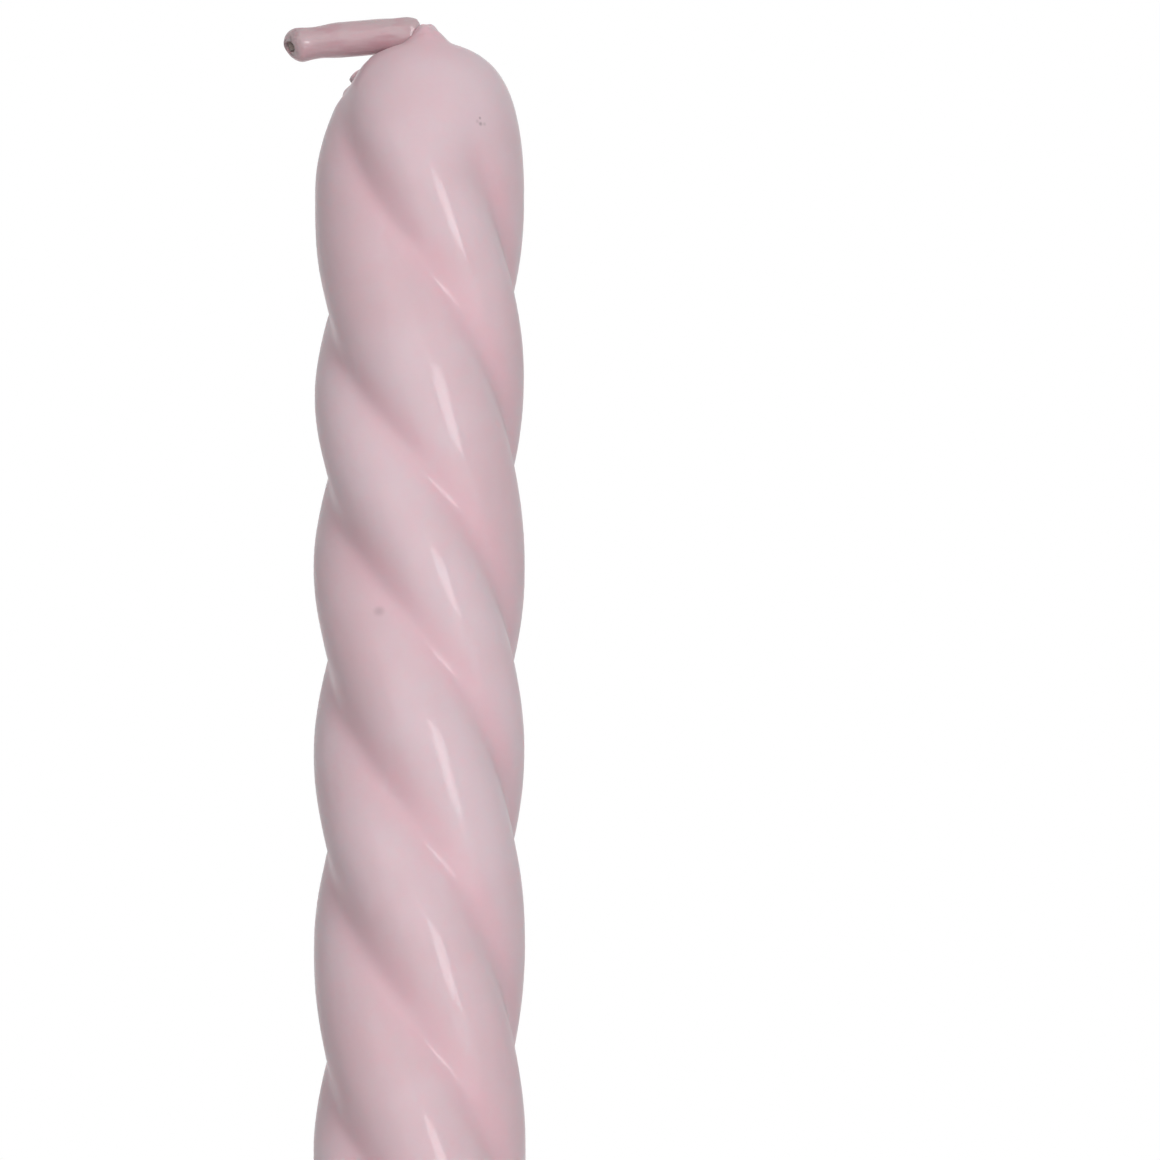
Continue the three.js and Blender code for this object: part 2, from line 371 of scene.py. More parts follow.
def twist_angle(wax, height):
    """Turn of the grooves up to a height above the foot, counted from where the lead is widest.

    The twist eases off towards the dome, where the candle was held.
    """
    start = wax.base_height - WIDEST_LEAD_HEIGHT
    along = max(height, wax.base_height) - WIDEST_LEAD_HEIGHT
    slowest = math.tau / wax.widest_lead
    extra = math.tau / wax.foot_lead - slowest
    held = max(0.0, height - WAX_HEIGHT + TWIST_EASE_LENGTH) / TWIST_EASE_LENGTH
    return slowest * along + extra * along**3 / (3 * start * start) - TWIST_EASE * held * held


# Depth in millimetres below the top at which each groove runs out on the dome
GROOVE_ENDS = (5.0, 4.0, 1.0, 6.5)
# How far each groove strays from an even twist, as (height above the foot in millimetres, degrees)
GROOVE_STRAY = (
    ((416, -1.0), (378, 7.5), (320, 0.0)),
    ((433, -9.4), (396, -1.4), (355, -5.6), (320, 0.0)),
    ((446, 8.5), (417, 5.6), (377, 0.9), (320, 0.0)),
    ((436, 1.9), (397, 0.0), (356, 1.0), (320, 0.0)),
)


def stray(marks, height):
    """Stray of one groove at a height, smooth between its marks and level beyond them."""
    above = marks[0]
    for below in marks:
        if height / MM > below[0]:
            if below is above:
                break
            return mix(below[1], above[1], smoothstep(below[0], above[0], height / MM))
        above = below
    return above[1]


def over_crests(values, angle):
    """The grooves' own values at an angle about the section, blended over the crests."""
    place = angle / math.tau * len(values)
    first = math.floor(place)
    share = smoothstep(0, 1, place - first)
    return mix(values[first % len(values)], values[(first + 1) % len(values)], share)


def groove_share(wax, angle, height):
    """Share of the full groove depth: none on the plain foot, none on the dome."""
    start = smoothstep(wax.base_height - GROOVE_LEAD_IN, wax.base_height + GROOVE_START, height)
    top = WAX_HEIGHT - over_crests(GROOVE_ENDS, angle) * MM
    return start * (1 - smoothstep(top - GROOVE_FADE, top, height))


def groove_fall(wax, angle, height):
    """Share of the groove's depth at an angle about the section: 1 in a groove, 0 on a crest."""
    half_lobe = math.pi / wax.lobes
    strays = [stray(marks, height) for marks in GROOVE_STRAY]
    into_lobe = (angle - math.radians(over_crests(strays, angle))) % (2 * half_lobe)
    from_groove = min(into_lobe, 2 * half_lobe - into_lobe)
    soft = min(half_lobe, math.hypot(from_groove, wax.groove_softness))
    return (1 - soft / half_lobe) ** 2 * groove_share(wax, angle, height)


def cane_radius(cane, z):
    return (cane.foot_diameter - cane.taper * z) / 2


def socket_radius(cane, z):
    return cane_radius(cane, z) + SOCKET_WALL


def wax_outline(wax, cane):
    """Rings of the wax as (radius, height above the foot, share of the candle's own line)."""
    base = wax.base_diameter / 2
    crest = wax.crest_diameter / 2
    depth = CANE_TOP - BASE
    heights = levels(depth, SOCKET_LOWEST, SOCKET_STEP)
    outline = [(socket_radius(cane, BASE + height), height, 0.0) for height in heights]
    mouth = socket_radius(cane, BASE) + MOUTH_WIDER
    rim_foot = base - wax.rim_round
    outline += [(mix(mouth, rim_foot, way), 0.0, share) for way, share in UNDERSIDE]
    for turn in levels(0, math.pi / 2, RIM_TURN):
        outline.append((
            rim_foot + wax.rim_round * math.sin(turn),
            wax.rim_round * (1 - math.cos(turn)),
            1.0,
        ))
    for height in levels(wax.rim_round, wax.base_height, FOOT_STEP)[1:]:
        outline.append((base, height, 1.0))
    dome_foot = WAX_HEIGHT - wax.dome_height
    for height in levels(wax.base_height, dome_foot, TWIST_STEP)[1:]:
        grown = smoothstep(wax.base_height, wax.base_height + GROOVE_START, height)
        outline.append((mix(base, crest, grown), height, 1.0))
    for ring in range(1, DOME_RINGS):
        below = (1 - ring / DOME_RINGS) ** 2
        width = (1 - (1 - below) ** DOME_CURVE) ** (1 / DOME_FULLNESS)
        outline.append((crest * width, WAX_HEIGHT - wax.dome_height * below, 1.0))
    return outline


def hand_made(point, height):
    """Radial unevenness of poured and hand-twisted wax."""
    lumps = sum(relief(point, *entry) for entry in WAX_RELIEFS)
    return lumps + relief(point, *RIM_RELIEF) * (1 - smoothstep(*RIM_REACH, height))


# Small crumbs and dents of the dome's side below the stub, in millimetres, as (place across, depth
# below the top, reach across, reach up and down, rise)
CRUMBS = (
    (-0.8, 4.15, 1.3, 0.8, 0.5),
    (0.3, 5.0, 3.0, 0.65, -0.45),
    (0.0, 4.7, 5.0, 2.6, -0.35),
    (-0.8, 5.65, 1.6, 0.4, 0.2),
    (0.0, 3.0, 3.4, 0.8, -0.15),
    (-1.6, 2.0, 0.7, 0.6, 0.15),
)
# Powers that give a crumb its steep side and a dent its soft edge
CRUMB_POWER = 0.7
DENT_POWER = 1.5


def crumb_rise(point):
    """How far the crumbs and dents raise a point of the dome's side on the stub's side."""
    rise = 0.0
    if point.x >= HINGE.x:
        return rise
    for crumb in CRUMBS:
        across, depth, width, tall, height = (size * MM for size in crumb)
        away = math.hypot((point.y - across) / width, (point.z - TOP + depth) / tall)
        power = CRUMB_POWER if height > 0 else DENT_POWER
        rise += height * max(0.0, 1 - away * away) ** power
    return rise


def stub_bend(wick):
    """Change of the stub's slope for each unit of its length."""
    return (wick.tip_droop - wick.root_droop) / wick.stub_length


def stub_under(wick, point):
    """Height of the stub's underside over a point, or None where the stub doesn't reach."""
    radius = wick.coat_diameter / 2 + SEAT_GAP
    along = HINGE.x - point.x
    if along < 0:
        along = -along / ROOT_REACH * radius
        inside = radius * radius - point.y * point.y - along * along
        return HINGE.z - math.sqrt(inside) if inside > 0 else None
    inside = radius * radius - point.y * point.y
    if inside <= 0 or along > wick.stub_length:
        return None
    centre = HINGE.z - along * math.tan(wick.root_droop + stub_bend(wick) * along / 2)
    return centre - math.sqrt(inside)


def seated(wick, point):
    """A point of the dome, raised round the wick's root and pressed in under the stub."""
    side = (point.x - HINGE.x - MOUND_SHIFT) / MOUND_REACH
    across = (point.y + MOUND_FORWARD) / MOUND_HALF_WIDTH
    spread = side * side + across * across
    if spread < 1:
        ragged = 1 + relief(point, *MOUND_RELIEF)
        point.z += MOUND_RISE * ragged * (1 - spread) ** 3
    under = stub_under(wick, point)
    if under is not None:
        point.z = min(point.z, under)
    return point


def make_wax_body(context):
    wax = context.scene.candle_wax
    wick = context.scene.candle_wick
    cane = context.scene.candle_cane
    lean_foot = WAX_HEIGHT - wax.dome_height

    def place(entry, angle):
        radius, height, own_line = entry
        fall = groove_fall(wax, angle, height)
        turn = angle + GROOVE_PHASE - twist_angle(wax, height)
        z = BASE + height
        line = mix(cane_line(z), candle_line(z), own_line)
        outward = radial(turn)
        reach = radius - wax.groove_depth * fall
        point = outward * reach + Vector((line, 0, z))
        if own_line < 1:
            return point
        calm = smoothstep(0, CALM_RADIUS, reach)
        point += outward * hand_made(point, height) * calm
        if height > lean_foot:
            point.x += wax.dome_lean * smoothstep(lean_foot, WAX_HEIGHT, height)
            point.z -= DOME_DIP * smoothstep(*DIP_REACH, 2 * reach / wax.crest_diameter)
            point += outward * crumb_rise(point)
            point = seated(wick, point)
        return point

    bm = turned_tube(WAX_SIDES, wax_outline(wax, cane), place)
    # Share of the painted groove shade at each point
    groove_shade_layer = bm.verts.layers.float.new("groove")
    for vert in bm.verts:
        height = vert.co.z - BASE
        line = candle_line(vert.co.z)
        turn = math.atan2(vert.co.y, vert.co.x - line)
        angle = turn - GROOVE_PHASE + twist_angle(wax, height) - GROOVE_SHADE_SHIFT
        vert[groove_shade_layer] = groove_fall(wax, angle, height)
    add_piece("wax_column", bm, "candle", "wax_body", wax_material(wax))


# Shape of the wick

STUB_SIDES = 64
STUB_STEP = 0.2 * MM
TIP_SLANT = 0.5 * MM
TIP_ROUND = 1.3 * MM
# Share by which the tip's slant grows towards the camera and falls towards the upper side
SLANT_FRONT = 0.8
SLANT_UPPER = 0.6
NECK_DEPTH = 0.16 * MM
NECK_FROM_TIP = 3.4 * MM
NECK_REACH = 1.5 * MM
# Powers that shape the coat's root and the round of its tip
ROOT_POWER = 0.5
TIP_POWER = 0.8
DIMPLE_RADIUS = 0.6 * MM
# Rings of the dimple in the open end, as (share of its radius, depth in millimetres)
DIMPLE = ((0.95, 0.06), (0.9, 0.2), (0.9, 0.5), (1.2, 0.9))
BORE_GAP = 0.1 * MM
BORE_START = 1.5 * MM
BORE_END = 2.6 * MM
POLE_STEP = 0.1 * MM
# The reliefs reach only points this far outside the cotton
COAT_SKIN = 0.3 * MM
COAT_RELIEF = (0.06 * MM, 2.6 * MM, 3)
FOLD_RELIEF = (0.05 * MM, 0.55 * MM, 7)
CRUMBLE_RELIEF = (0.03 * MM, 0.6 * MM, 9)
CRUMBLE_SHARES = (0.3, 1)
TIP_REACH = (3 * MM, 0.5 * MM)
WORN_REACH = (2.2 * MM, 0.4 * MM)
# Heights over the stub's centre between which the painted top light comes in
UPPER_REACH = (-1.2 * MM, 1.5 * MM)
# The folds run along the stub, and are stronger near its root
FOLD_STRETCH = 0.25
FOLDS_EVERYWHERE = 0.5
FOLDS_AT_ROOT = 1.9
FOLDS_REACH = (0.5 * MM, 4.5 * MM)
# Angle at which the coat's rounded root starts, and the longest steps of its root and its tip
ROOT_START = math.radians(4)
ROOT_TURN = math.radians(8)
TIP_TURN = math.radians(9)
BRAID_SIDES = 48
BRAID_START = 0.3 * MM
BRAID_PITCH = 1.1 * MM
BRAID_TURNS = 1.5
BRAID_HOLLOW = 0.16 * MM
BRAID_CORE = 0.5 * MM
BRAID_INSET = 0.5 * MM
BRAID_TAPER = 1.1 * MM
BRAID_FRAY = 0.2 * MM
# Rings of the cotton's end, as (share of its radius, length before the end in millimetres)
BRAID_END = ((0.8, 0.8), (0.5, 0.4), (0.42, 0.1), (0.2, 0.0))


def stub_frame(wick, along):
    """Centre of the stub at a length from its bend, and its upward direction there."""
    bend = stub_bend(wick)
    droop = wick.root_droop + bend * along
    centre = Vector((
        HINGE.x - (math.sin(droop) - math.sin(wick.root_droop)) / bend,
        0,
        HINGE.z + (math.cos(droop) - math.cos(wick.root_droop)) / bend,
    ))
    return centre, Vector((-math.sin(droop), 0, math.cos(droop)))


def coat_outline(wick):
    """Rings of the stub's coat as (radius, length from the bend), from root to open end."""
    radius = wick.coat_diameter / 2
    tip = wick.stub_length
    outline = []
    for turn in levels(ROOT_START, math.pi / 2, ROOT_TURN):
        outline.append((radius * math.sin(turn) ** ROOT_POWER, -ROOT_REACH * math.cos(turn)))
    for along in levels(0, tip - TIP_ROUND, STUB_STEP)[1:]:
        neck = NECK_DEPTH * math.exp(-(((along - tip + NECK_FROM_TIP) / NECK_REACH) ** 2))
        outline.append((radius - neck, along))
    for turn in levels(0, math.pi / 2, TIP_TURN)[1:]:
        narrowed = (radius - DIMPLE_RADIUS) * (1 - math.cos(turn) ** TIP_POWER)
        outline.append((radius - narrowed, tip - TIP_ROUND * (1 - math.sin(turn))))
    bore = wick.cotton_diameter / 2 + BORE_GAP
    outline += [(DIMPLE_RADIUS * share, tip - depth * MM) for share, depth in DIMPLE]
    outline += [(bore, tip - BORE_START), (bore, tip - BORE_END)]
    outline.append((POLE_RADIUS, tip - BORE_END - POLE_STEP))
    return outline


def make_wick_coat(context):
    wick = context.scene.candle_wick
    tip = wick.stub_length

    def place(entry, angle):
        radius, along = entry
        near_tip = smoothstep(tip - TIP_REACH[0], tip - TIP_REACH[1], along)
        upper, back = math.cos(angle), math.sin(angle)
        slant = TIP_SLANT * near_tip * (1 - SLANT_FRONT * back - SLANT_UPPER * upper)
        centre, up = stub_frame(wick, along - slant)
        outward = up * upper + Vector((0, back, 0))
        point = centre + outward * radius
        if radius > wick.cotton_diameter / 2 + COAT_SKIN:
            folds = Vector((along * FOLD_STRETCH, upper * radius, back * radius))
            creased = FOLDS_EVERYWHERE + FOLDS_AT_ROOT * (1 - smoothstep(*FOLDS_REACH, along))
            crumbled = smoothstep(*CRUMBLE_SHARES, near_tip)
            point += outward * relief(point, *COAT_RELIEF)
            point += outward * relief(folds, *FOLD_RELIEF) * creased
            point += outward * relief(point, *CRUMBLE_RELIEF) * crumbled
        return point

    bm = turned_tube(STUB_SIDES, coat_outline(wick), place)
    worn_layer = bm.verts.layers.float.new("worn")
    # Share of the upper side, which the painted top light greys
    lit_top_layer = bm.verts.layers.float.new("upper")
    for vert in bm.verts:
        along = HINGE.x - vert.co.x
        centre, up = stub_frame(wick, along)
        vert[worn_layer] = smoothstep(tip - WORN_REACH[0], tip - WORN_REACH[1], along)
        vert[lit_top_layer] = smoothstep(*UPPER_REACH, (vert.co - centre).dot(up))
    add_piece("wick_coat", bm, "wick_tip", "wick_wax_coat", coat_material(wick))


def cotton_outline(wick):
    """Rings of the stub's cotton as (radius, length from the bend), from its root to its end."""
    radius = wick.cotton_diameter / 2
    end = wick.stub_length - BRAID_INSET
    outline = [(SMALL_POLE_RADIUS, BRAID_START)]
    for along in levels(BRAID_START + POLE_STEP, end - BRAID_TAPER, STUB_STEP):
        outline.append((radius, along))
    return outline + [(radius * share, end - before * MM) for share, before in BRAID_END]


def make_wick_cotton(context):
    wick = context.scene.candle_wick
    end = wick.stub_length - BRAID_INSET

    def place(entry, angle):
        reach, along = entry
        strand = abs(math.sin(BRAID_TURNS * angle + along / BRAID_PITCH))
        crossing = abs(math.sin(BRAID_TURNS * angle - along / BRAID_PITCH))
        if along > end - BRAID_FRAY:
            along += BRAID_FRAY * (strand - 0.5)
        if reach > BRAID_CORE:
            reach -= BRAID_HOLLOW * (1 - max(strand, crossing))
        centre, up = stub_frame(wick, along)
        return centre + (up * math.cos(angle) + Vector((0, math.sin(angle), 0))) * reach

    bm = turned_tube(BRAID_SIDES, cotton_outline(wick), place)
    material = cotton_material(wick)
    hidden_wick = frame["nodes"]["wick"].data.materials
    hidden_wick.clear()
    hidden_wick.append(material)
    add_piece("wick_braid", bm, "wick_tip", "wick_stub", material)


# Shape of the cane and of the wax that sets it

CANE_SIDES = 72
PITH_RADIUS = 1.3 * MM
PITH_DEPTH = 14 * MM
PITH_STEP = 2 * MM
PITH_EDGE = 0.15 * MM
CUT_STEP = 0.5 * MM
CUT_EDGE = 0.25 * MM
CUT_BEVEL = 0.07 * MM
CUT_TINT = (0.02 * MM, 0.2 * MM)
CANE_STEP = 2.5 * MM
TOP_EDGE = 0.4 * MM
TOP_BEVEL = 0.3 * MM
# The knot's rings lie close together between these places below and above it
KNOT_REACH = (4 * MM, 6 * MM)
KNOT_STEP = 0.25 * MM
# The knot's ridge, scar and pinch, as (share of its swell, place and reach in millimetres)
KNOT_FORMS = ((0.8, 1.6, 1.5), (0.75, 0.0, 0.55), (-0.35, -1.3, 0.6))
# The fibres are drawn out along the cane
FIBRE_STRETCH = 0.06
# Rings wider than this share of the cane belong to its side
SIDE_SHARE = 0.9
FIBRE_RELIEF = (0.05 * MM, 1.6 * MM, 2)
CANE_RELIEF = (0.03 * MM, 7 * MM, 8)


def knot_swell(cane, z):
    """The ring that a leaf sheath leaves: a scar with a ridge above it and a pinch below it."""
    above = (z - cane.knot_height) / MM
    forms = (share * math.exp(-(((above - at) / reach) ** 2)) for share, at, reach in KNOT_FORMS)
    return cane.knot_swell * sum(forms)


def cane_outline(cane):
    """Rings of the cane as (radius, height), from the pith hole round the foot to the top."""
    foot = cane.foot_diameter / 2
    outline = [(SMALL_POLE_RADIUS, PITH_DEPTH)]
    outline += [(PITH_RADIUS, z) for z in levels(PITH_DEPTH, PITH_EDGE, PITH_STEP)]
    outline.append((PITH_RADIUS + PITH_EDGE, 0.0))
    for radius in levels(PITH_RADIUS + CUT_STEP, foot - CUT_EDGE, CUT_STEP):
        outline.append((radius, 0.0))
    outline += [(foot - CUT_BEVEL, CUT_BEVEL), (foot, CUT_EDGE)]
    low = cane.knot_height - KNOT_REACH[0]
    high = cane.knot_height + KNOT_REACH[1]
    heights = levels(CUT_EDGE, low, CANE_STEP)[1:] + levels(low, high, KNOT_STEP)[1:]
    heights += levels(high, CANE_TOP - TOP_EDGE, CANE_STEP)[1:]
    outline += [(cane_radius(cane, z), z) for z in heights]
    top = cane_radius(cane, CANE_TOP)
    outline += [(top - TOP_BEVEL, CANE_TOP), (top / 2, CANE_TOP), (POLE_RADIUS, CANE_TOP)]
    return outline


def make_cane(context):
    cane = context.scene.candle_cane

    def place(entry, angle):
        radius, z = entry
        outward = radial(angle)
        point = Vector((cane_line(z), 0, z)) + outward * radius
        if radius > SIDE_SHARE * cane_radius(cane, z) and z > 0:
            fibres = Vector((outward.x * radius, outward.y * radius, z * FIBRE_STRETCH))
            point += outward * relief(fibres, *FIBRE_RELIEF)
            point += outward * relief(point, *CANE_RELIEF)
            point += outward * knot_swell(cane, z)
        return point

    bm = turned_tube(CANE_SIDES, cane_outline(cane), place)
    end_layer = bm.verts.layers.float.new("cut_end")
    for vert in bm.verts:
        vert[end_layer] = 1.0 - smoothstep(*CUT_TINT, vert.co.z)
    add_piece("cane_stem", bm, "candle", "bamboo_cane", cane_material(cane))


SLEEVE_GAP = 0.02 * MM
SLEEVE_WALL = SOCKET_WALL - 0.3 * MM
SLEEVE_START = 0.6 * MM
SLEEVE_STEP = 12 * MM
SLEEVE_SIDES = 96
# The collar's outline from the cane outwards, as (share of the sleeve's wall, share of the drop)
COLLAR = (
    (0.0, 1.0), (0.1, 0.98), (0.18, 0.86), (0.26, 0.6), (0.42, 0.36),
    (0.7, 0.2), (1.0, 0.12), (1.3, 0.07), (1.5, 0.03),
)
# Shares of the way round from right to left between which the collar's drop grows
DROP_GROWS = (0.1, 0.75)
DROP_RELIEF = (0.22, 2.4 * MM, 4)
DROP_RADIUS = 5 * MM
COLLAR_RELIEF = (0.08 * MM, 1.5 * MM, 6)
COLLAR_EVEN = 0.2
THIN_REACH = (-0.3 * MM, 0.8 * MM)


def sleeve_outline():
    """Rings of the setting wax as (in the collar, share of the wall, height or share of drop)."""
    heights = levels(SLEEVE_START, CANE_TOP - BASE, SLEEVE_STEP)
    outline = [(True, share, drop) for share, drop in COLLAR]
    outline += [(False, 1.0, height) for height in heights]
    outline += [(False, 0.0, height) for height in reversed(heights)]
    return outline + [(False, 0.0, 0.0), (True, 0.0, 0.5)]


def make_setting_wax(context):
    cane = context.scene.candle_cane

    def place(entry, angle):
        in_collar, share, height = entry
        outward = radial(angle)
        if in_collar:
            grown = smoothstep(*DROP_GROWS, (1 - outward.x) / 2)
            drop = mix(cane.collar_drop_right, cane.collar_drop_left, grown)
            height *= -drop * (1 + relief(outward * DROP_RADIUS, *DROP_RELIEF))
        z = BASE + height
        radius = cane_radius(cane, z) + SLEEVE_GAP + SLEEVE_WALL * share
        point = Vector((cane_line(z), 0, z)) + outward * radius
        if in_collar and share > COLLAR_EVEN:
            point += outward * relief(point, *COLLAR_RELIEF)
        return point

    bm = ring_tube(SLEEVE_SIDES, sleeve_outline(), place)
    thin_layer = bm.verts.layers.float.new("thin")
    for vert in bm.verts:
        vert[thin_layer] = smoothstep(*THIN_REACH, BASE - vert.co.z)
    material = setting_material(context.scene.candle_wax)
    add_piece("setting_collar", bm, "candle", "cane_setting_wax", material)


# Finishes

MARK_COLOUR = painted(132, 116, 120)
ROSY_COAT = painted(182, 142, 150)
WORN_COAT = painted(112, 96, 97)
CHALKY_COAT = painted(190, 172, 174)
THIN_WAX = painted(150, 122, 112)
SHADED_COTTON = painted(92, 78, 74)
CUT_CANE = painted(186, 160, 120)
SHADED_CUT = painted(120, 92, 62)
# Shares of the groove's depth between which the painted groove shade comes in, and its full share
GROOVE_SHADE_EDGES = (0.18, 0.62)
GROOVE_SHADE_SHARE = 0.7
ROOT_TINT_PLACE = Vector((1.5, -3.0, -0.5)) * MM
ROOT_TINT_REACH = (1.5 * MM, 9 * MM)
# Small grey marks in the wax, as (place in millimetres, inner radius, outer radius, strength)
MARKS = (
    ((-17.2, -8.8, 729.6), 0.05, 0.85, 0.32),
    ((-7.06, -8.01, 781.9), 0.03, 0.22, 0.6),
    ((-6.98, -7.97, 781.3), 0.03, 0.32, 0.6),
    ((-6.56, -7.74, 781.35), 0.03, 0.3, 0.3),
    ((-7.3, -8.2, 781.5), 0.03, 0.3, 0.25),
    # These two make the crumb at the dome's left edge grey
    ((-20.8, -0.9, 788.1), 0.3, 1.1, 0.7),
    ((-20.5, -1.5, 786.6), 0.1, 0.7, 0.5),
    ((-0.4, -4.6, 394.3), 0.2, 1.5, 0.6),
)


class Finish:
    """A material under construction, with short calls for its nodes."""

    def __init__(self, name):
        self.material = bpy.data.materials.new(name)
        self.material.use_nodes = True
        self.tree = self.material.node_tree
        self.shader = self.tree.nodes["Principled BSDF"]
        self.place = self.add("ShaderNodeTexCoord").outputs["Object"]

    def add(self, kind, inputs=None, **settings):
        node = self.tree.nodes.new(kind)
        for name, value in settings.items():
            setattr(node, name, value)
        for name, value in (inputs or {}).items():
            self.feed(node.inputs[name], value)
        return node

    def feed(self, socket, value):
        """Links an output to a socket, or gives it a value; a colour of three gets its fourth."""
        if isinstance(value, bpy.types.NodeSocket):
            self.tree.links.new(value, socket)
        elif socket.type == "RGBA":
            socket.default_value = (*value, 1)
        else:
            socket.default_value = value

    def set(self, **inputs):
        """Feeds the shader's sockets, named with _ for each space."""
        for name, value in inputs.items():
            self.feed(self.shader.inputs[name.replace("_", " ")], value)

    def stretched(self, scale, offset=(0, 0, 0)):
        inputs = {"Vector": self.place, "Scale": scale, "Location": offset}
        return self.add("ShaderNodeMapping", inputs).outputs["Vector"]

    def clouds(self, scale, detail, vector=None, roughness=0.5):
        inputs = {
            "Vector": vector or self.place,
            "Scale": scale,
            "Detail": detail,
            "Roughness": roughness,
        }
        return self.add("ShaderNodeTexNoise", inputs).outputs["Fac"]

    def between(self, value, low, high, to_low=0.0, to_high=1.0):
        """A smooth change from to_low to to_high while the value goes from low to high."""
        inputs = {
            "Value": value,
            "From Min": low,
            "From Max": high,
            "To Min": to_low,
            "To Max": to_high,
        }
        node = self.add("ShaderNodeMapRange", inputs, interpolation_type="SMOOTHSTEP")
        return node.outputs["Result"]

    def blend(self, share, first, second):
        node = self.add("ShaderNodeMix", data_type="RGBA")
        self.feed(node.inputs[0], share)
        self.feed(node.inputs[6], first)
        self.feed(node.inputs[7], second)
        return node.outputs[2]

    def combine(self, operation, first, second):
        return self.add("ShaderNodeMath", {0: first, 1: second}, operation=operation).outputs[0]

    def attribute(self, name):
        return self.add("ShaderNodeAttribute", attribute_name=name).outputs["Fac"]

    def patches(
        self, colour, tint, scale, edges,
        detail=3.0, share=1.0, stretch=None, shift=(0, 0, 0), only=None,
    ):
        """The colour with soft patches of a tint, on all of the mesh or on one layer of it."""
        vector = self.stretched(stretch, shift) if stretch else None
        strength = self.between(self.clouds(scale, detail, vector), *edges, 0.0, share)
        if only:
            strength = self.combine("MULTIPLY", strength, self.attribute(only))
        return self.blend(strength, colour, tint)

    def spot(self, centre, low, high):
        """1 near a point of the object, 0 away from it."""
        node = self.add("ShaderNodeVectorMath", operation="DISTANCE")
        self.feed(node.inputs[0], self.place)
        self.feed(node.inputs[1], centre)
        return self.between(node.outputs["Value"], low, high, 1.0, 0.0)

    def bump(self, height, distance, strength=1.0, normal=None):
        inputs = {"Height": height, "Distance": distance, "Strength": strength}
        if normal:
            inputs["Normal"] = normal
        return self.add("ShaderNodeBump", inputs).outputs["Normal"]


def wax_gloss(finish, weight, coarse=None):
    """Shared shine and depth of candle wax, with a fine relief of its skin over a coarser one."""
    finish.set(
        Subsurface_Weight=weight,
        Subsurface_Radius=(1.0, 0.3, 0.35),
        Subsurface_Scale=1.8 * MM,
        IOR=1.44,
        Specular_IOR_Level=0.08,
        Coat_Weight=0.26,
        Coat_Roughness=0.08,
    )
    grain = finish.clouds(900, 3.0)
    streaks = finish.clouds(260, 2.0, finish.stretched((1, 1, 0.35)))
    soft = finish.bump(streaks, 0.06 * MM, 0.6, coarse)
    skin = finish.bump(grain, 0.022 * MM, 0.8, soft)
    finish.set(Normal=skin, Coat_Normal=skin)
    finish.set(Roughness=finish.between(finish.clouds(140, 3.0), 0.35, 0.7, 0.34, 0.46))


def wax_material(wax):
    """Pink wax with paler clouds and flecks, painted shade of a deeper pink in the grooves, and
    small grey marks.
    """
    finish = Finish("pink_wax")
    colour = finish.patches(wax.wax_colour, wax.pale_colour, scale=55, edges=(0.35, 0.7))
    # Painted shade: a deeper pink in the grooves
    shade_in_grooves = finish.between(finish.attribute("groove"), *GROOVE_SHADE_EDGES, 0.0, GROOVE_SHADE_SHARE)
    colour = finish.blend(shade_in_grooves, colour, wax.groove_shade_and_root_pink)
    colour = finish.patches(
        colour, wax.pale_colour,
        scale=330, detail=4.0, edges=(0.58, 0.8), share=0.5, stretch=(1, 1, 0.4),
    )
    root = finish.spot(HINGE + ROOT_TINT_PLACE, *ROOT_TINT_REACH)
    colour = finish.blend(root, colour, wax.groove_shade_and_root_pink)
    for place, inner, outer, share in MARKS:
        mark = finish.spot(Vector(place) * MM, inner * MM, outer * MM)
        colour = finish.blend(finish.combine("MULTIPLY", mark, share), colour, MARK_COLOUR)
    finish.set(Base_Color=colour)
    wax_gloss(finish, 0.6)
    return finish.material


def coat_material(wick):
    """The stub's wax: painted lighter and greyer above, as lit from above, rosy in places, and worn
    and chalky towards its open end.
    """
    finish = Finish("stub_wax")
    # Painted light: greyer and paler on the upper side
    colour = finish.patches(
        wick.coat_colour, wick.lit_top_colour,
        scale=420, detail=4.0, edges=(0.3, 0.65), stretch=(0.3, 1, 1), only="upper",
    )
    colour = finish.patches(
        colour, ROSY_COAT,
        scale=500, edges=(0.48, 0.68), share=0.6, stretch=(0.5, 1, 1), shift=(0.02, 0, 0),
    )
    colour = finish.patches(
        colour, WORN_COAT,
        scale=1300, detail=4.0, edges=(0.4, 0.62), share=0.7, only="worn",
    )
    colour = finish.patches(
        colour, CHALKY_COAT,
        scale=1000, edges=(0.5, 0.62), share=0.75, stretch=(1, 1, 1), shift=(3, 1, 2), only="worn",
    )
    finish.set(Base_Color=colour)
    folds = finish.clouds(750, 3.0, finish.stretched((0.4, 1, 1), (0, 0.01, 0)))
    wax_gloss(finish, 0.35, finish.bump(folds, 0.2 * MM, 0.9))
    finish.set(Coat_Weight=0.6)
    return finish.material


def setting_material(wax):
    """Wax that lets the brown cane through where it is thin."""
    finish = Finish("setting_wax")
    finish.set(Base_Color=finish.blend(finish.attribute("thin"), wax.wax_colour, THIN_WAX))
    wax_gloss(finish, 0.25)
    return finish.material


def cotton_material(wick):
    finish = Finish("wick_cotton")
    fibres = finish.clouds(2500, 3.0)
    colour = finish.blend(fibres, wick.cotton_colour, SHADED_COTTON)
    finish.set(Base_Color=colour, Roughness=0.85, Sheen_Weight=0.3)
    finish.set(Normal=finish.bump(fibres, 0.05 * MM))
    return finish.material


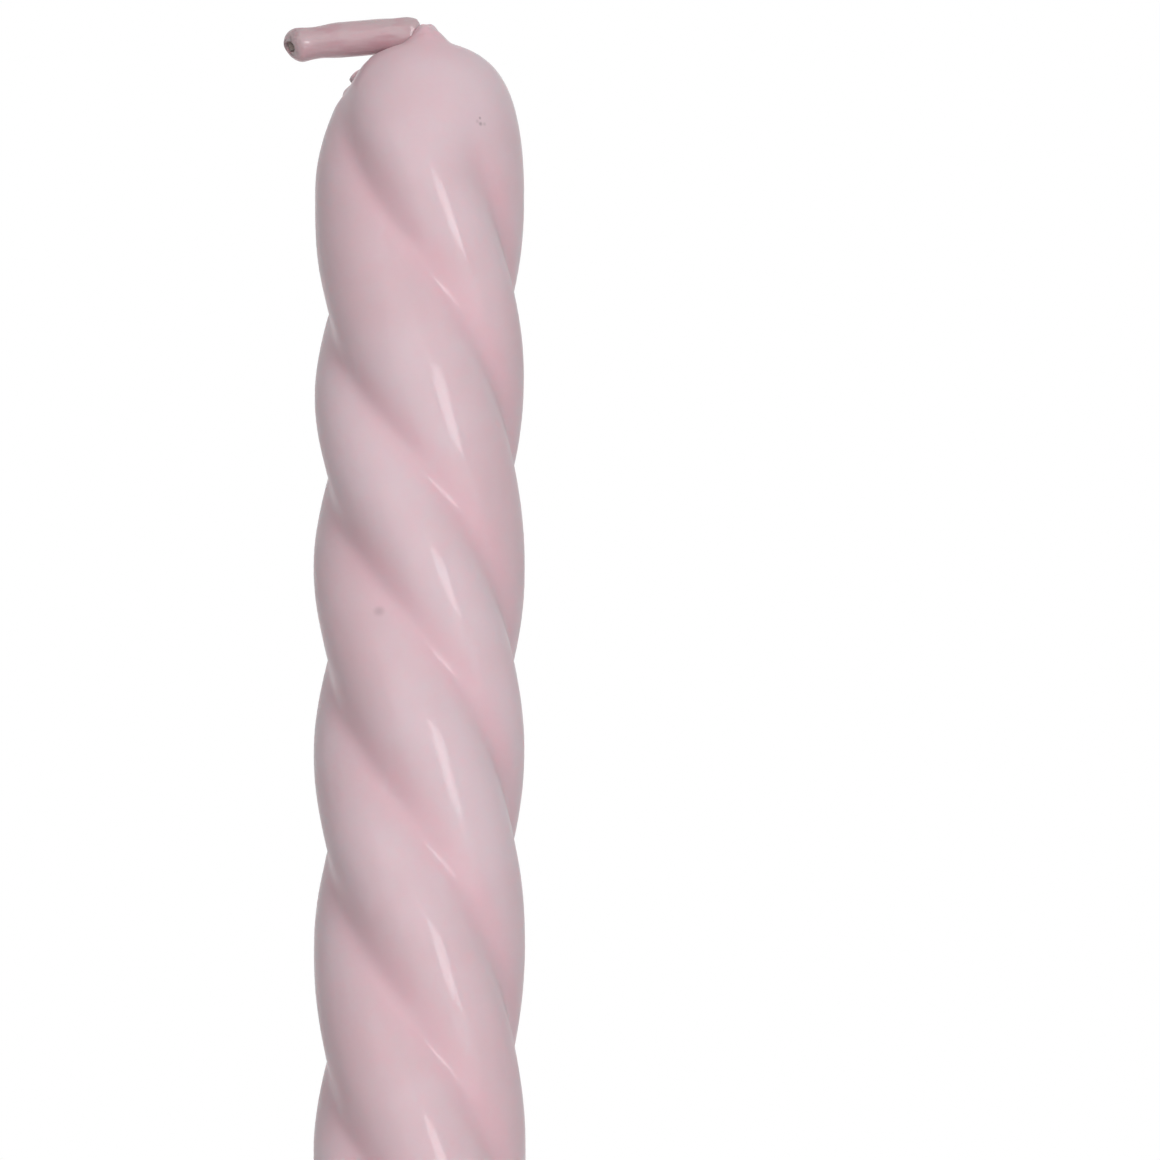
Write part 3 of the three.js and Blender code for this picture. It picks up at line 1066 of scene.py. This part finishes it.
def cane_material(cane):
    """Brown cane with pale bands, russet patches, dark streaks and specks, and a pale cut."""
    finish = Finish("bamboo")
    colour = finish.patches(
        cane.brown_colour, cane.light_colour,
        scale=130, edges=(0.42, 0.6), stretch=(1, 1, 0.16),
    )
    colour = finish.patches(
        colour, cane.russet_colour,
        scale=100, edges=(0.5, 0.68), share=0.75, stretch=(1, 1, 0.25), shift=(0.02, 0.01, 0),
    )
    streaks = finish.clouds(600, 4.0, finish.stretched((1, 1, 0.05)), 0.6)
    dark = finish.between(streaks, 0.45, 0.75, 0.0, 0.5)
    colour = finish.blend(dark, colour, cane.dark_colour)
    colour = finish.patches(
        colour, cane.dark_colour,
        scale=190, detail=4.0, edges=(0.58, 0.75), share=0.7,
        stretch=(1, 1, 0.4), shift=(0, 0.03, 0.01),
    )
    specks = finish.add(
        "ShaderNodeTexVoronoi",
        {"Vector": finish.stretched((1, 1, 0.45), (0.003, 0.001, 0)), "Scale": 90.0},
    )
    speck = finish.between(specks.outputs["Distance"], 0.05, 0.11, 0.8, 0.0)
    colour = finish.blend(speck, colour, cane.dark_colour)
    cut = finish.blend(finish.clouds(900, 2.0), CUT_CANE, SHADED_CUT)
    colour = finish.blend(finish.attribute("cut_end"), colour, cut)
    finish.set(Base_Color=colour, Coat_Weight=0.15, Coat_Roughness=0.25, Specular_IOR_Level=0.2)
    finish.set(Roughness=finish.between(streaks, 0.3, 0.7, 0.42, 0.62))
    finish.set(Normal=finish.bump(streaks, 0.08 * MM, 0.6))
    return finish.material


# Studio stage

FLOOR_RADIUS = 9.0
FLOOR_SIDES = 96
# Distances from the candle between which the floor turns white: it has begun to at the foot
FLOOR_FADE = (-0.4, 1.0)
WORLD_LIGHT = 0.1
SENSOR = 36.0
CLIP_START = 0.05
CLIP_END = 100


def floor_material(stage):
    """Pale floor that keeps the candle's shadow and turns white further off."""
    finish = Finish("studio_floor")
    finish.set(Base_Color=stage.floor_colour, Roughness=0.8)
    distance = finish.add("ShaderNodeVectorMath", operation="LENGTH")
    finish.feed(distance.inputs[0], finish.place)
    far = finish.between(distance.outputs["Value"], *FLOOR_FADE)
    seen = finish.combine("MULTIPLY", far, seen_ray(finish))
    white = finish.add("ShaderNodeEmission", {"Color": (1, 1, 1), "Strength": 1.0})
    mixed = finish.add("ShaderNodeMixShader")
    finish.feed(mixed.inputs[0], seen)
    finish.feed(mixed.inputs[1], finish.shader.outputs[0])
    finish.feed(mixed.inputs[2], white.outputs[0])
    output = finish.tree.nodes["Material Output"]
    finish.feed(output.inputs["Surface"], mixed.outputs[0])
    return finish.material


def seen_ray(finish):
    """1 for rays of the camera, of gloss and of glass."""
    rays = finish.add("ShaderNodeLightPath").outputs
    seen = finish.combine("MAXIMUM", rays["Is Camera Ray"], rays["Is Glossy Ray"])
    return finish.combine("MAXIMUM", seen, rays["Is Transmission Ray"])


class WorldFinish(Finish):
    """The world, built with the same short calls."""

    def __init__(self, world):
        world.use_nodes = True
        self.tree = world.node_tree
        self.tree.nodes.clear()


def make_world(context):
    world = bpy.data.worlds.new("studio_world")
    context.scene.world = world
    finish = WorldFinish(world)
    light = finish.add("ShaderNodeBackground", {"Color": (1, 1, 1), "Strength": WORLD_LIGHT})
    white = finish.add("ShaderNodeBackground", {"Color": (1, 1, 1), "Strength": 1.0})
    mixed = finish.add("ShaderNodeMixShader")
    finish.feed(mixed.inputs[0], seen_ray(finish))
    finish.feed(mixed.inputs[1], light.outputs[0])
    finish.feed(mixed.inputs[2], white.outputs[0])
    output = finish.add("ShaderNodeOutputWorld")
    finish.feed(output.inputs["Surface"], mixed.outputs[0])


# Softboxes in metres, degrees and watts, as (name, azimuth to the right of the camera, elevation,
# distance, width, height, power, seen in gloss)
SOFTBOXES = (
    ("key_softbox", -12, 5, 1.8, 1.6, 2.0, 14.8, True),
    ("strip_softbox", 24, 8, 1.3, 0.38, 0.5, 6.4, True),
    ("low_softbox", 26, -11, 1.3, 0.8, 0.25, 1.6, True),
    ("top_softbox", 0, 72, 1.6, 0.8, 0.8, 5.5, False),
    ("left_softbox", -128, 8, 1.8, 0.8, 1.2, 2.0, False),
    ("right_softbox", 128, 8, 1.8, 0.8, 1.2, 2.0, False),
    ("back_softbox", 180, 10, 1.8, 1.2, 1.6, 20.0, False),
)
# Height above the floor that the softboxes are aimed at and measured from
LIT_HEIGHT = 0.74


def add_softbox(name, azimuth, elevation, distance, width, tall, power, in_gloss):
    """An area lamp that is aimed at the candle's upper part, and unseen by the camera."""
    lamp = bpy.data.lights.new(name, "AREA")
    lamp.shape = "RECTANGLE"
    lamp.size = width
    lamp.size_y = tall
    lamp.energy = power
    holder = bpy.data.objects.new(name, lamp)
    side, rise = math.radians(azimuth), math.radians(elevation)
    level = Vector((math.sin(side), -math.cos(side), 0))
    aside = level * math.cos(rise) + Vector((0, 0, math.sin(rise)))
    holder.location = Vector((0, 0, LIT_HEIGHT)) + aside * distance
    holder.rotation_euler = (-aside).to_track_quat("-Z", "Y").to_euler()
    holder.visible_camera = False
    holder.visible_glossy = in_gloss
    bpy.context.scene.collection.objects.link(holder)


def add_camera(context, stage):
    """The photo's camera, which looks up at the candle's top from lower and in front."""
    lens = bpy.data.cameras.new("photo_camera")
    lens.sensor_width = SENSOR
    lens.clip_start = CLIP_START
    lens.clip_end = CLIP_END
    camera = bpy.data.objects.new("photo_camera", lens)
    target = Vector((candle_line(TOP) + stage.view_side, 0, BASE + stage.view_height))
    camera.location = (target.x, -stage.camera_distance, stage.camera_height)
    sight = target - camera.location
    lens.lens = SENSOR * sight.length / stage.view_width
    camera.rotation_euler = sight.to_track_quat("-Z", "Y").to_euler()
    context.scene.collection.objects.link(camera)
    context.scene.camera = camera


def make_stage(context):
    stage = context.scene.candle_stage
    context.scene.view_settings.view_transform = "Standard"
    add_camera(context, stage)
    bm = bmesh.new()
    bmesh.ops.create_circle(bm, cap_ends=True, segments=FLOOR_SIDES, radius=FLOOR_RADIUS)
    mesh = bpy.data.meshes.new("studio_floor")
    bm.to_mesh(mesh)
    bm.free()
    mesh.materials.append(floor_material(stage))
    floor = bpy.data.objects.new("studio_floor", mesh)
    context.scene.collection.objects.link(floor)
    make_world(context)
    for lamp in SOFTBOXES:
        add_softbox(*lamp)


# Operators


class CANDLE_OT_stage(bpy.types.Operator):
    """Set up the camera, the floor and the studio light"""

    bl_idname = "candle.stage"
    bl_label = "Studio Stage"
    bl_options = {"REGISTER", "UNDO"}

    def execute(self, context):
        make_stage(context)
        return {"FINISHED"}


class CANDLE_OT_wax_body(bpy.types.Operator):
    """Make the twisted wax body with its plain foot and domed top"""

    bl_idname = "candle.wax_body"
    bl_label = "Wax Body"
    bl_options = {"REGISTER", "UNDO"}

    def execute(self, context):
        make_wax_body(context)
        return {"FINISHED"}


class CANDLE_OT_wick_coat(bpy.types.Operator):
    """Make the wax coat of the bent wick stub"""

    bl_idname = "candle.wick_coat"
    bl_label = "Wick Coat"
    bl_options = {"REGISTER", "UNDO"}

    def execute(self, context):
        make_wick_coat(context)
        return {"FINISHED"}


class CANDLE_OT_wick_cotton(bpy.types.Operator):
    """Make the braided cotton of the wick stub and finish the wick inside the wax"""

    bl_idname = "candle.wick_cotton"
    bl_label = "Wick Cotton"
    bl_options = {"REGISTER", "UNDO"}

    def execute(self, context):
        make_wick_cotton(context)
        return {"FINISHED"}


class CANDLE_OT_setting_wax(bpy.types.Operator):
    """Make the wax that sets the cane, with its squeezed-out collar"""

    bl_idname = "candle.setting_wax"
    bl_label = "Setting Wax"
    bl_options = {"REGISTER", "UNDO"}

    def execute(self, context):
        make_setting_wax(context)
        return {"FINISHED"}


class CANDLE_OT_cane(bpy.types.Operator):
    """Make the bamboo cane with its knot and cut foot"""

    bl_idname = "candle.cane"
    bl_label = "Bamboo Cane"
    bl_options = {"REGISTER", "UNDO"}

    def execute(self, context):
        make_cane(context)
        return {"FINISHED"}


class CANDLE_PT_tools(bpy.types.Panel):
    """Lists the candle's build steps"""

    bl_idname = "CANDLE_PT_tools"
    bl_label = "Twisted Candle"
    bl_space_type = "VIEW_3D"
    bl_region_type = "UI"
    bl_category = "Candle"

    def draw(self, context):
        for step in STEPS:
            self.layout.operator(step.bl_idname)


STEPS = (
    CANDLE_OT_stage,
    CANDLE_OT_cane,
    CANDLE_OT_setting_wax,
    CANDLE_OT_wax_body,
    CANDLE_OT_wick_cotton,
    CANDLE_OT_wick_coat,
)

SETTINGS = {
    "candle_wax": WaxSettings,
    "candle_wick": WickSettings,
    "candle_cane": CaneSettings,
    "candle_stage": StageSettings,
}


def register():
    for group in SETTINGS.values():
        bpy.utils.register_class(group)
    for step in STEPS:
        bpy.utils.register_class(step)
    bpy.utils.register_class(CANDLE_PT_tools)
    for name, group in SETTINGS.items():
        setattr(bpy.types.Scene, name, PointerProperty(type=group))


def unregister():
    for name in SETTINGS:
        delattr(bpy.types.Scene, name)
    bpy.utils.unregister_class(CANDLE_PT_tools)
    for step in reversed(STEPS):
        bpy.utils.unregister_class(step)
    for group in reversed(SETTINGS.values()):
        bpy.utils.unregister_class(group)


def main():
    register()
    bpy.ops.candle.stage()
    bpy.ops.candle.cane()
    bpy.ops.candle.setting_wax()
    bpy.ops.candle.wax_body()
    bpy.ops.candle.wick_cotton()
    bpy.ops.candle.wick_coat()


if __name__ == "__main__":
    main()
